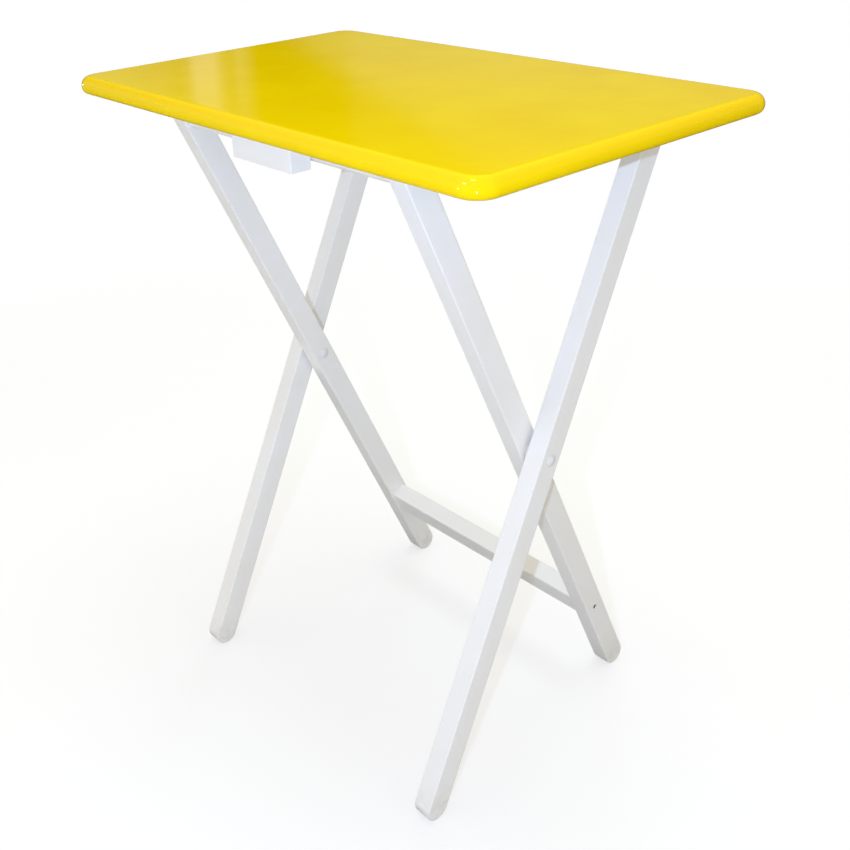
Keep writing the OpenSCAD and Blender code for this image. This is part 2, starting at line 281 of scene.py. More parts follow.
def makeGrainGroup():
    # Fibres run along the group's own Z, under the fine ripple of a brushed or rolled coat. Height is the
    # relief, Cloud a broad drift of the colour and Gloss a finer one of the shine.
    tree, source, sink = newGroup(
        "grainUnderPaint",
        [("Vector", "NodeSocketVector", None), ("Across", "NodeSocketFloat", 260.0),
         ("Along", "NodeSocketFloat", 9.0), ("Peel", "NodeSocketFloat", 650.0)],
        [("Height", "NodeSocketFloat"), ("Cloud", "NodeSocketFloat"), ("Gloss", "NodeSocketFloat")],
    )
    stretch = addNode(tree, "ShaderNodeCombineXYZ", {}, {
        "X": source.outputs["Across"], "Y": source.outputs["Across"], "Z": source.outputs["Along"]})
    fibreAt = addNode(tree, "ShaderNodeVectorMath", {"operation": "MULTIPLY"}, {
        0: source.outputs["Vector"], 1: stretch.outputs[0]}).outputs[0]
    fibre = noiseNode(tree, fibreAt, 1.0, 3.0, 0.55)
    wave = noiseNode(tree, fibreAt, 0.22, 1.0)
    peel = noiseNode(tree, source.outputs["Vector"], source.outputs["Peel"], 1.5)
    cloud = noiseNode(tree, source.outputs["Vector"], 11.0, 3.0, 0.6)
    patch = noiseNode(tree, source.outputs["Vector"], 34.0, 2.0)
    fine, broad = mathNode(tree, "MULTIPLY", fibre, 0.45), mathNode(tree, "MULTIPLY", wave, 0.9)
    height = mathNode(tree, "MULTIPLY_ADD", peel, 0.35, mathNode(tree, "ADD", fine, broad))
    tree.links.new(height, sink.inputs["Height"])
    tree.links.new(cloud, sink.inputs["Cloud"])
    gloss = mathNode(tree, "MULTIPLY_ADD", patch, 0.5, mathNode(tree, "MULTIPLY", fibre, 0.5))
    tree.links.new(gloss, sink.inputs["Gloss"])
    return tree


def makeRubGroup():
    # Where hands and floors rub: the piece's own edge attribute broken up by noise, and a band by the floor.
    tree, source, sink = newGroup(
        "rubbedEdges",
        [("Vector", "NodeSocketVector", None), ("Grain", "NodeSocketFloat", 90.0),
         ("Reach", "NodeSocketFloat", 0.55)],
        [("Mask", "NodeSocketFloat"), ("Foot", "NodeSocketFloat")],
    )
    edge = addNode(tree, "ShaderNodeAttribute", {"attribute_name": "rub"}).outputs["Fac"]
    speckle = noiseNode(tree, source.outputs["Vector"], source.outputs["Grain"], 4.0, 0.65)
    broken = mathNode(tree, "SUBTRACT", speckle, source.outputs["Reach"])
    mask = mathNode(tree, "MULTIPLY", edge, mathNode(tree, "MULTIPLY", broken, 6.0, clamp=True), clamp=True)
    low = rangeNode(tree, heightNode(tree), 35 * mm, 0.0)
    foot = mathNode(tree, "MULTIPLY", low, rangeNode(tree, speckle, 0.42, 0.66), clamp=True)
    tree.links.new(mask, sink.inputs["Mask"])
    tree.links.new(foot, sink.inputs["Foot"])
    return tree


def makeDustGroup():
    # Sparse specks caught in a finish, and hair-thin wipe marks that run two ways.
    tree, source, sink = newGroup(
        "specksAndWipes",
        [("Vector", "NodeSocketVector", None), ("Speck", "NodeSocketFloat", 120.0),
         ("Wipe", "NodeSocketFloat", 40.0)],
        [("Specks", "NodeSocketFloat"), ("Wipes", "NodeSocketFloat")],
    )
    cell = addNode(tree, "ShaderNodeTexVoronoi", {}, {
        "Vector": source.outputs["Vector"], "Scale": source.outputs["Speck"]})
    dot = rangeNode(tree, cell.outputs["Distance"], 0.09, 0.03)
    lot = addNode(tree, "ShaderNodeSeparateColor", {}, {0: cell.outputs["Color"]}).outputs[0]
    chosen = rangeNode(tree, lot, 0.86, 0.9)  # few cells hold a speck
    tree.links.new(mathNode(tree, "MULTIPLY", dot, chosen, clamp=True), sink.inputs["Specks"])
    marks = []
    for spin in (0.35, -0.9):
        turnedAt = addNode(tree, "ShaderNodeMapping", {}, {
            "Vector": source.outputs["Vector"], "Rotation": (0, 0, spin), "Scale": (1, 26, 1)})
        thread = noiseNode(tree, turnedAt.outputs[0], source.outputs["Wipe"], 2.0, 0.6)
        marks.append(rangeNode(tree, thread, 0.6, 0.75))
    tree.links.new(mathNode(tree, "MAXIMUM", marks[0], marks[1]), sink.inputs["Wipes"])
    return tree


grainGroup, rubGroup, dustGroup = makeGrainGroup(), makeRubGroup(), makeDustGroup()


def useGroup(tree, group, inputs):
    return addNode(tree, "ShaderNodeGroup", {"node_tree": group}, inputs)


def newMaterial(name):
    material = bpy.data.materials.new(name)
    material.use_nodes = True
    tree = material.node_tree
    tree.nodes.clear()
    surface = tree.nodes.new("ShaderNodeBsdfPrincipled")
    tree.links.new(surface.outputs["BSDF"], tree.nodes.new("ShaderNodeOutputMaterial").inputs["Surface"])
    return material, tree, surface


def objectAt(tree, turn=(0, 0, 0)):
    place = {"Vector": addNode(tree, "ShaderNodeTexCoord").outputs["Object"], "Rotation": turn}
    return addNode(tree, "ShaderNodeMapping", {"vector_type": "TEXTURE"}, place).outputs[0]


def tinted(tree, colour, mask, share, tint):
    # The tint laid over a colour by a mask, up to a share of 1.
    return mixColour(tree, mathNode(tree, "MULTIPLY", mask, share), colour, tint)


def setBump(tree, surface, height, strength, distance):
    bump = addNode(tree, "ShaderNodeBump", {}, {"Height": height, "Strength": strength, "Distance": distance})
    tree.links.new(bump.outputs["Normal"], surface.inputs["Normal"])


def setRough(tree, surface, gloss, finish, low=0.35, high=0.65):
    # Roughness between the finish's two values, by the grain's gloss pattern.
    rough = rangeNode(tree, gloss, low, high, finish["roughLow"], finish["roughHigh"])
    tree.links.new(rough, surface.inputs["Roughness"])


def srgb(r, g, b):
    # Screen values out of 255 as the linear colour that a shader takes.
    c = np.array([r, g, b]) / 255
    return (*np.where(c <= 0.04045, c / 12.92, ((c + 0.055) / 1.055) ** 2.4).tolist(), 1.0)


lacquer = {
    "deep": srgb(248, 214, 1), "fresh": srgb(252, 222, 3), "thin": srgb(255, 226, 60),
    # "round" is painted shade: a darker yellow laid on the board's upper round in place of shade.
    "under": srgb(233, 234, 234), "round": srgb(243, 206, 8), "roughLow": 0.05, "roughHigh": 0.09,
    "bump": 0.07, "bumpDepth": 0.4 * mm, "wear": 0.25, "speckTint": 0.35, "speckRise": 0.5,
    "wipeRough": 0.05, "primerRough": 0.35,
    "grain": {"Across": 120.0, "Along": 5.0, "Peel": 330.0}, "rub": {"Grain": 150.0, "Reach": 0.6},
    "dust": {"Speck": 70.0, "Wipe": 16.0},
    "roundShadeFrom": (0.2 * mm, 1.5 * mm), "roundShadeTo": (8 * mm, 3 * mm),  # below the top face
    "primerLine": (0.7 * mm, 0.5 * mm), "primerWander": 0.6 * mm,  # above the underside
}
boardUnder, boardTop = (corner.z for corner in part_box("tabletop"))


def makeLacquer():
    material, tree, surface = newMaterial("topLacquer")
    at = objectAt(tree, (0, math.pi / 2, 0))  # board grain runs along X
    grain = useGroup(tree, grainGroup, {"Vector": at, **lacquer["grain"]})
    rub = useGroup(tree, rubGroup, {"Vector": at, **lacquer["rub"]})
    dust = useGroup(tree, dustGroup, {"Vector": objectAt(tree), **lacquer["dust"]})
    drift = rangeNode(tree, grain.outputs["Cloud"], 0.35, 0.65)
    colour = mixColour(tree, drift, lacquer["deep"], lacquer["fresh"])
    colour = tinted(tree, colour, rub.outputs["Mask"], lacquer["wear"], lacquer["thin"])
    colour = tinted(tree, colour, dust.outputs["Specks"], lacquer["speckTint"], lacquer["thin"])
    # Painted shade: the lacquer is a darker yellow on the upper edge's round, below the flat top, standing in
    # for shade there.
    level = heightNode(tree)
    below, above = (rangeNode(tree, level, boardTop - start, boardTop - end)
                    for start, end in (lacquer["roundShadeFrom"], lacquer["roundShadeTo"]))
    colour = mixColour(tree, mathNode(tree, "MULTIPLY", below, above), colour, lacquer["round"])
    # The flat underside is primed white up to a brushed line that wanders a little.
    line = mathNode(tree, "MULTIPLY_ADD", grain.outputs["Cloud"], lacquer["primerWander"], level)
    primed = rangeNode(tree, line, *(boardUnder + rise for rise in lacquer["primerLine"]))
    colour = mixColour(tree, primed, colour, lacquer["under"])
    tree.links.new(colour, surface.inputs["Base Color"])
    rough = rangeNode(tree, grain.outputs["Gloss"], 0.35, 0.65, lacquer["roughLow"], lacquer["roughHigh"])
    rough = mathNode(tree, "MULTIPLY_ADD", dust.outputs["Wipes"], lacquer["wipeRough"], rough)
    rough = mathNode(tree, "MULTIPLY_ADD", primed, lacquer["primerRough"], rough)
    tree.links.new(rough, surface.inputs["Roughness"])
    rise = lacquer["speckRise"]
    height = mathNode(tree, "MULTIPLY_ADD", dust.outputs["Specks"], rise, grain.outputs["Height"])
    setBump(tree, surface, height, lacquer["bump"], lacquer["bumpDepth"])
    return material


paint = {
    "cool": srgb(240, 241, 242), "warm": srgb(238, 238, 236), "bare": srgb(214, 208, 194),
    "grime": srgb(178, 170, 155), "roughLow": 0.34, "roughHigh": 0.48, "bump": 0.22, "bumpDepth": 0.5 * mm,
    "wear": 0.45, "footGrime": 0.35, "speckTint": 0.3,
    "grain": {"Across": 300.0, "Along": 11.0, "Peel": 700.0}, "rub": {"Grain": 130.0, "Reach": 0.56},
    "dust": {"Speck": 140.0, "Wipe": 60.0},
}


def makePaint(name, turn):
    # The same white paint on each piece, its grain turned to run along that piece.
    material, tree, surface = newMaterial(name)
    at = objectAt(tree, turn)
    grain = useGroup(tree, grainGroup, {"Vector": at, **paint["grain"]})
    rub = useGroup(tree, rubGroup, {"Vector": at, **paint["rub"]})
    dust = useGroup(tree, dustGroup, {"Vector": at, **paint["dust"]})
    drift = rangeNode(tree, grain.outputs["Cloud"], 0.35, 0.65)
    colour = mixColour(tree, drift, paint["warm"], paint["cool"])
    colour = tinted(tree, colour, rub.outputs["Mask"], paint["wear"], paint["bare"])
    colour = tinted(tree, colour, rub.outputs["Foot"], paint["footGrime"], paint["grime"])
    colour = tinted(tree, colour, dust.outputs["Specks"], paint["speckTint"], paint["bare"])
    tree.links.new(colour, surface.inputs["Base Color"])
    setRough(tree, surface, grain.outputs["Gloss"], paint)
    setBump(tree, surface, grain.outputs["Height"], paint["bump"], paint["bumpDepth"])
    return material


cap = {
    "white": srgb(229, 230, 231), "worn": srgb(211, 211, 209), "roughLow": 0.2, "roughHigh": 0.34,
    "bump": 0.12, "bumpDepth": 0.3 * mm, "wear": 0.7,
    "grain": {"Across": 700.0, "Along": 700.0, "Peel": 1500.0}, "rub": {"Grain": 600.0, "Reach": 0.55},
}


def makeCapPaint():
    material, tree, surface = newMaterial("boltEnamel")
    at = objectAt(tree)
    grain = useGroup(tree, grainGroup, {"Vector": at, **cap["grain"]})
    rub = useGroup(tree, rubGroup, {"Vector": at, **cap["rub"]})
    colour = tinted(tree, cap["white"], rub.outputs["Mask"], cap["wear"], cap["worn"])
    tree.links.new(colour, surface.inputs["Base Color"])
    setRough(tree, surface, grain.outputs["Gloss"], cap, 0.3, 0.7)
    setBump(tree, surface, grain.outputs["Height"], cap["bump"], cap["bumpDepth"])
    return material


steel = {
    "bright": srgb(120, 117, 112), "dull": srgb(64, 62, 59), "roughLow": 0.28, "roughHigh": 0.5,
    "bump": 0.2, "bumpDepth": 0.2 * mm, "grain": {"Across": 900.0, "Along": 900.0, "Peel": 2400.0},
}


def makeSteel():
    material, tree, surface = newMaterial("screwSteel")
    at = objectAt(tree)
    grain = useGroup(tree, grainGroup, {"Vector": at, **steel["grain"]})
    drift = rangeNode(tree, grain.outputs["Gloss"], 0.35, 0.65)
    colour = mixColour(tree, drift, steel["dull"], steel["bright"])
    tree.links.new(colour, surface.inputs["Base Color"])
    surface.inputs["Metallic"].default_value = 1.0
    setRough(tree, surface, grain.outputs["Gloss"], steel, 0.3, 0.7)
    setBump(tree, surface, grain.outputs["Height"], steel["bump"], steel["bumpDepth"])
    return material


nylon = {
    "milky": srgb(226, 225, 218), "shade": srgb(212, 210, 202), "roughLow": 0.36, "roughHigh": 0.5,
    "bump": 0.1, "bumpDepth": 0.2 * mm, "grain": {"Across": 500.0, "Along": 500.0, "Peel": 1800.0},
}


def makeNylon():
    material, tree, surface = newMaterial("washerNylon")
    at = objectAt(tree)
    grain = useGroup(tree, grainGroup, {"Vector": at, **nylon["grain"]})
    drift = rangeNode(tree, grain.outputs["Cloud"], 0.3, 0.7)
    colour = mixColour(tree, drift, nylon["milky"], nylon["shade"])
    tree.links.new(colour, surface.inputs["Base Color"])
    setRough(tree, surface, grain.outputs["Gloss"], nylon, 0.3, 0.7)
    setBump(tree, surface, grain.outputs["Height"], nylon["bump"], nylon["bumpDepth"])
    return material


lean = math.atan2(pivot[1] - crossing[1], pivot[2] - crossing[2])  # of the legs from upright
topLacquer = makeLacquer()
outerPaint = makePaint("outerLegPaint", (-lean, 0, 0))
innerPaint = makePaint("innerLegPaint", (lean, 0, 0))
railPaint = makePaint("railPaint", (0, math.pi / 2, 0))
cleatPaint = makePaint("cleatPaint", (math.pi / 2, 0, 0))
boltEnamel, screwSteel, washerNylon = makeCapPaint(), makeSteel(), makeNylon()
print("materials ready:", len(bpy.data.materials))


board = {
    "cornerRadius": 22 * mm, "upperRound": 9 * mm, "lowerRound": 7 * mm, "cornerSteps": 28, "edgeSteps": 12,
    "hold": 3 * mm,
}
low, high = boxOf("tabletop")
outline = [(low[0], low[1]), (high[0], low[1]), (high[0], high[1]), (low[0], high[1])]
tabletop = easedPlate(
    outline, [board["cornerRadius"]] * 4, high[2] - low[2], board["lowerRound"], board["upperRound"],
    board["cornerSteps"], board["edgeSteps"], board["hold"],
)
tabletop = placed(tabletop, at=(0, 0, low[2]), fromPlate=False)
addPiece("tabletop_board", tabletop, topLacquer, "table_top", ["tabletop"])
print("tabletop made")


woodScrew = {"headRadius": 4.05 * mm, "headDepth": 2.1 * mm, "shankRadius": 2.05 * mm}
block = {"ease": 0.9 * mm, "sharp": 0.3 * mm}  # outline corners are rounder than the ease by sharp
cleat = {"endRound": 8 * mm, "cornerSteps": 12}


def screwPlaces(node):
    # Middle of each separate screw in a node, from the gaps between its sorted points along the longer side.
    points = np.array([v.co for v in frame["nodes"][node].data.vertices])
    axis = int(np.argmax(np.ptp(points[:, :2], axis=0)))
    line = np.sort(points[:, axis])
    cuts = np.flatnonzero(np.diff(line) > 12 * mm)
    starts, ends = line[np.r_[0, cuts + 1]], line[np.r_[cuts, len(line) - 1]]
    middles = (starts + ends) / 2
    other = (points[:, 1 - axis].min() + points[:, 1 - axis].max()) / 2
    return [(m, other) if axis == 0 else (other, m) for m in middles]


def countersink(headRadius, headDepth, shankRadius, sink=0.0, ease=0.25 * mm, hold=0.6 * mm):
    # (radius, depth) down a countersunk hole: an eased mouth, a straight wall if the head is sunk, the cone.
    t = np.linspace(0, np.pi / 2, 4)
    mouth = headRadius + ease * (1 - np.sin(t))
    radius = np.r_[headRadius + ease + hold, mouth, headRadius, shankRadius, shankRadius]
    cone = sink + headDepth
    depth = np.r_[0, ease * (1 - np.cos(t)), max(sink, ease) + 0.02 * mm, cone, cone + 0.6 * mm]
    return np.stack([radius, depth], 1)


def screwedBlock(node, screws, outline, radii, cornerSteps):
    # A block of the outline's shape in (y, z), as long in x as its node, with screw holes in its underside.
    low, high = boxOf(node)
    shape = easedPlate(outline, radii, high[0] - low[0], block["ease"], block["ease"], cornerSteps, 4)
    shape = placed(shape, at=(low[0], 0, 0))
    holes = [(x, y, low[2]) for x, y in screwPlaces(screws)]
    under = flatFaceOn(shape, 2, low[2])
    return sunkHoles(shape, under, (0, 0, -1), (1, 0, 0), holes, countersink(**woodScrew))


sharp = block["ease"] + block["sharp"]
for side in ("right", "left"):
    low, high = boxOf("cleat_" + side)
    radii = [cleat["endRound"], cleat["endRound"], sharp, sharp]  # the lower corners of the ends are rounded
    outline = [(low[1], low[2]), (high[1], low[2]), (high[1], high[2]), (low[1], high[2])]
    shape = screwedBlock("cleat_" + side, "cleat_screws_" + side, outline, radii, cleat["cornerSteps"])
    addPiece("cleat_body_" + side, shape, cleatPaint, "table_top", ["cleat_" + side])
print("cleats made")


# The block reaches down in front of the crossbar and lies over it, with a round corner between.
catch = {"seatGap": 0.3 * mm, "cornerSteps": 10}
low, high = boxOf("catch_block")
barLow, barHigh = boxOf("crossbar")
bar = (barLow + barHigh) / 2
barRadius = (barHigh[2] - barLow[2]) / 2
seat = barRadius + catch["seatGap"]
outline = [
    (low[1], low[2]), (bar[1] - seat, low[2]), (bar[1] - seat, bar[2] + seat), (high[1], bar[2] + seat),
    (high[1], high[2]), (low[1], high[2]),
]
radii = [sharp, sharp, seat, sharp, sharp, sharp]
shape = screwedBlock("catch_block", "catch_screws", outline, radii, catch["cornerSteps"])
addPiece("catch_block_body", shape, railPaint, "table_top", ["catch_block"])
print("catch block made")


leg = {"width": 25 * mm, "ease": 1.3 * mm, "roundSteps": 14, "hair": 0.05 * mm}
frameScrew = {"headRadius": 2.85 * mm, "headDepth": 1.05 * mm, "shankRadius": 1.8 * mm, "sink": 1.5 * mm}
endRadius = leg["width"] / 2
upperLength = math.hypot(pivot[1] - crossing[1], pivot[2] - crossing[2])
lowerLength = (crossing[2] - endRadius) / math.cos(lean)
barAt = math.hypot(bar[1] - crossing[1], bar[2] - crossing[2])  # crossbar, up the inner leg from the bolt
railLow, railHigh = boxOf("stretcher")
rail = (railLow + railHigh) / 2
railAt = -math.hypot(rail[1] - crossing[1], rail[2] - crossing[2])


def legPlate(thickness):
    # Round ends a hair short of half circles, so that no two outline points coincide.
    top, bottom = upperLength + endRadius, -lowerLength - endRadius
    outline = [(-endRadius, bottom), (endRadius, bottom), (endRadius, top), (-endRadius, top)]
    radii = [endRadius - leg["hair"]] * 4
    return easedPlate(outline, radii, thickness, leg["ease"], leg["ease"], leg["roundSteps"], 5)


for side in ("right", "left"):
    low, high = boxOf("outer_leg_right")
    shape = placed(legPlate(high[0] - low[0]), -lean, (low[0], crossing[1], crossing[2]))
    if side == "left":
        shape = mirrored(shape)
    addPiece("outer_leg_body_" + side, shape, outerPaint, "outer_frame", ["outer_leg_" + side])
    low, high = boxOf("inner_leg_right")
    thickness = high[0] - low[0]
    shape = legPlate(thickness)
    shape = sunkHoles(
        shape, flatFaceOn(shape, 2, thickness), (0, 0, 1), (1, 0, 0),
        [(0, barAt, thickness), (0, railAt, thickness)], countersink(**frameScrew),
    )
    shape = placed(shape, lean, (low[0], crossing[1], crossing[2]))
    if side == "left":
        shape = mirrored(shape)
    addPiece("inner_leg_body_" + side, shape, innerPaint, "inner_frame", ["inner_leg_" + side])
innerFace = low[0]  # inner legs' inner faces, where the crossbar and the stretcher meet them
print("legs made")


crossbar = {"fillet": 0.9 * mm, "steps": 48}
reach = barHigh[0]


def dowelProfile():
    # Plain dowel that flares into the paint at each leg: radius + f - sqrt(f * f - d * d), d into the fillet.
    f = crossbar["fillet"]
    d = np.linspace(0, f, 6)
    x = np.r_[reach, reach, innerFace, innerFace - f + d[::-1]]
    r = np.r_[0, barRadius, barRadius, barRadius + f - np.sqrt(f * f - d[::-1] ** 2)]
    half = np.stack([x, r], 1)
    return np.concatenate([half * (-1, 1), half[::-1]])


shape = placed(turned(dowelProfile(), crossbar["steps"]), lean, (0, bar[1], bar[2]), fromPlate=False)
addPiece("crossbar_dowel", shape, railPaint, "inner_frame", ["crossbar"])

stretcher = {"across": 20 * mm, "along": 28 * mm, "round": 1.6 * mm, "letIn": 0.5 * mm, "endEase": 0.2 * mm}
a, b = stretcher["across"] / 2, stretcher["along"] / 2
span = innerFace + stretcher["letIn"]
shape = easedPlate(
    [(-a, -b), (a, -b), (a, b), (-a, b)], [stretcher["round"]] * 4, 2 * span,
    stretcher["endEase"], stretcher["endEase"], 8, 2,
)
shape = placed(shape, lean, (0, rail[1], rail[2]))
shape[0][:, 0] -= span
addPiece("stretcher_rail", shape, railPaint, "inner_frame", ["stretcher"])
print("crossbar and stretcher made")


bolt = {
    "domeRadius": 6 * mm, "domeHeight": 2.4 * mm, "rim": 0.5 * mm, "lip": 0.25 * mm, "lipDrop": 0.6,
    "letIn": 0.15 * mm, "steps": 40,  # lipDrop: the lip's height as a share of its width
    "pin": (24 * mm, 2.5 * mm), "barrel": (40 * mm, 4 * mm),  # length and radius of each half's shank
}
ring = {"bore": 4.05 * mm, "spacerEase": 0.5 * mm, "washerEase": 0.2 * mm}


def capProfile(depth, shank):
    # From the shank's end out to the crown: an upright rim with a rounded lip, then a shallow ball:
    # height = rim + sqrt(ball^2 - r^2) - (ball - crown), where crown is what the rim leaves.
    rim, lip, radius = bolt["rim"], bolt["lip"], bolt["domeRadius"]
    crown = bolt["domeHeight"] - rim
    base = radius - lip
    ball = (base * base + crown * crown) / (2 * crown)
    r = base * np.cos(np.linspace(0, np.pi / 2, 12))[:-1]
    ballLine = np.stack([rim + np.sqrt(ball * ball - r * r) - (ball - crown), r], 1)
    t = np.linspace(0, np.pi / 2, 4)[:-1]
    drop = lip * bolt["lipDrop"]
    lipLine = np.stack([rim - drop + drop * np.sin(t), radius - lip * (1 - np.cos(t))], 1)
    start = [[-depth, 0], [-depth, shank], [-bolt["letIn"], shank], [-bolt["letIn"], radius]]
    return np.concatenate([start, lipLine, ballLine, [[bolt["domeHeight"], 0]]])


def addBolt(name, node, body, place, faceX, half, side):
    # A pin's cap faces out of the table, a barrel's cap faces in.
    shape = turned(capProfile(*bolt[half]), bolt["steps"])
    if half == "barrel":
        shape = mirrored(shape)
    shape = placed(shape, at=(faceX, place[1], place[2]), fromPlate=False)
    if side == "left":
        shape = mirrored(shape)
    addPiece(name + side, shape, boltEnamel, body, [node + side])


def addRing(name, node, body, place, ease, side):
    # Closed section: outer face, eased edge, bore, eased edge.
    low, high = boxOf(node + "right")
    outer, inner = (high[2] - low[2]) / 2, ring["bore"]
    corners = [(low[0], inner), (high[0], inner), (high[0], outer), (low[0], outer)]
    section = ringLoop(corners, [ease] * 4, 0, 4)[::-1]
    shape = placed(turned(section, bolt["steps"], closed=True), at=(0, place[1], place[2]), fromPlate=False)
    if side == "left":
        shape = mirrored(shape)
    addPiece(name + side, shape, washerNylon, body, [node + side])


outerInside, outerFace = (corner.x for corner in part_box("outer_leg_right"))
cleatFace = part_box("cleat_right")[1].x
for side in ("right", "left"):
    addBolt("scissor_bolt_cap_", "scissor_bolt_", "inner_frame", crossing, outerFace, "pin", side)
    addBolt("scissor_nut_cap_", "scissor_barrel_", "inner_frame", crossing, innerFace, "barrel", side)
    addBolt("pivot_bolt_cap_", "pivot_bolt_", "pivot_pins", pivot, cleatFace, "pin", side)
    addBolt("pivot_nut_cap_", "pivot_barrel_", "pivot_pins", pivot, outerInside, "barrel", side)
    addRing("scissor_spacer_ring_", "scissor_spacer_", "inner_frame", crossing, ring["spacerEase"], side)
    addRing("pivot_washer_ring_", "pivot_washer_", "pivot_pins", pivot, ring["washerEase"], side)
for name, node in frame["nodes"].items():  # screws keep their CAD shape
    if "screw" in name:
        node.data.materials.clear()
        node.data.materials.append(screwSteel)
print("hardware made")


studio = {
    "world": 0.742, "worldTint": (1.0, 0.915, 0.76),
    "floorRadius": 40, "floorSides": 96, "floorSeen": (0.94, 0.955, 0.985),
    "floorNear": 0.45, "floorFar": 1.5, "floorWhite": (0.55, 1.0),  # share of plain white, near and far
    "bounceFrom": -0.5, "bounceTo": 0.4, "floorBounce": (0.78, 0.44),  # more light comes back from the front
}


def seenRays(tree):
    # 1 for rays that come from the camera or by way of gloss or glass, 0 for those that only light things.
    path = tree.nodes.new("ShaderNodeLightPath")
    seen = mathNode(tree, "MAXIMUM", path.outputs["Is Camera Ray"], path.outputs["Is Glossy Ray"])
    return mathNode(tree, "MAXIMUM", seen, path.outputs["Is Transmission Ray"])


def makeWorld():
    world = bpy.data.worlds.new("studioWorld")
    bpy.context.scene.world = world
    world.use_nodes = True
    tree = world.node_tree
    tree.nodes.clear()
    light = addNode(tree, "ShaderNodeBackground", {}, {
        "Color": (*studio["worldTint"], 1), "Strength": studio["world"]})
    white = addNode(tree, "ShaderNodeBackground", {}, {"Color": (1, 1, 1, 1), "Strength": 1.0})
    seen = seenRays(tree)
    mix = addNode(tree, "ShaderNodeMixShader", {}, {0: seen, 1: light.outputs[0], 2: white.outputs[0]})
    tree.links.new(mix.outputs[0], tree.nodes.new("ShaderNodeOutputWorld").inputs["Surface"])


def makeFloor():
    # A disc that fades from a matt floor, which takes the shadow, into plain white further out.
    material = bpy.data.materials.new("studioFloor")
    material.use_nodes = True
    tree = material.node_tree
    tree.nodes.clear()
    seen = seenRays(tree)
    here = addNode(tree, "ShaderNodeTexCoord").outputs["Object"]
    ahead = addNode(tree, "ShaderNodeSeparateXYZ", {}, {0: here}).outputs["Y"]
    bounce = rangeNode(tree, ahead, studio["bounceFrom"], studio["bounceTo"], *studio["floorBounce"])
    tone = mixColour(tree, seen, bounce, (*studio["floorSeen"], 1))
    matt = addNode(tree, "ShaderNodeBsdfDiffuse", {}, {"Color": tone})
    white = addNode(tree, "ShaderNodeEmission", {}, {"Color": (1, 1, 1, 1), "Strength": 1.0})
    away = addNode(tree, "ShaderNodeVectorMath", {"operation": "LENGTH"}, {0: here}).outputs["Value"]
    fade = rangeNode(tree, away, studio["floorNear"], studio["floorFar"], *studio["floorWhite"])
    share = mathNode(tree, "MULTIPLY", fade, seen)
    mix = addNode(tree, "ShaderNodeMixShader", {}, {0: share, 1: matt.outputs[0], 2: white.outputs[0]})
    tree.links.new(mix.outputs[0], tree.nodes.new("ShaderNodeOutputMaterial").inputs["Surface"])
    angle = np.linspace(0, 2 * np.pi, studio["floorSides"], endpoint=False)
    rim = np.stack([np.cos(angle), np.sin(angle), angle * 0], 1) * studio["floorRadius"]
    mesh = bpy.data.meshes.new("floor")
    mesh.from_pydata(rim, [], [list(range(len(rim)))])
    mesh.materials.append(material)
    floor = bpy.data.objects.new("floor", mesh)
    floor.location.z = cadBox[0].z
    bpy.context.scene.collection.objects.link(floor)


tent = {
    "radius": 2.4, "floor": 0.002, "top": 3.0, "columns": 96, "rows": 24, "slantAt": 0.97,
    # Each card: brightness by degrees from +X towards +Y, a factor by height, and degrees of slant per metre.
    "cards": [
        {"around": [(20, 0.04), (60, 0.10), (100, 0.17), (135, 0.17), (145, 0.13), (147.5, 0.0)],
         "up": [(0.80, 0.0), (0.93, 1.0), (1.10, 1.0), (1.15, 0.84), (1.28, 0.60), (1.5, 0.38), (3.0, 0.12)],
         "slant": 32.0},
        {"around": [(20, 0.0), (100, 0.045), (141, 0.045), (142, 0.0), (148.5, 0.0), (149, 0.15),
                    (149.5, 0.15), (150, 0.06), (150.5, 0.06), (151, 0.34), (152.7, 0.34), (153.2, 0.08),
                    (154, 0.09), (155, 0.13), (157, 0.15), (160, 0.2), (180, 0.2)],
         "up": [(0.80, 0.0), (0.93, 1.0), (1.11, 1.0), (1.2, 0.7), (1.5, 0.4), (3.0, 0.1)], "slant": 0.0},
        {"around": [(-180, 0.0), (-165, 0.25), (-140, 0.30), (-110, 0.30), (-60, 0.22), (0, 0.14), (60, 0.08),
                    (110, 0.0)],
         "up": [(0.0, 0.4), (0.3, 0.7), (0.8, 1.0), (1.3, 1.3), (1.8, 0.5), (3.0, 0.3)], "slant": 0.0},
        {"around": [(-180, 0.2), (180, 0.2)], "up": [(1.7, 0.0), (2.6, 1.0)], "slant": 0.0},
    ],
}


def rampNode(tree, value, low, high, stopsAt):
    # A colour ramp whose stops are given in the value's own units.
    ramp = addNode(tree, "ShaderNodeValToRGB", {}, {"Fac": rangeNode(tree, value, low, high)})
    stops = ramp.color_ramp.elements
    while len(stops) < len(stopsAt):
        stops.new(0.5)
    for stop, (at, level) in zip(stops, stopsAt):
        stop.position = (at - low) / (high - low)
        stop.color = (level, level, level, 1)
    return ramp.outputs["Color"]


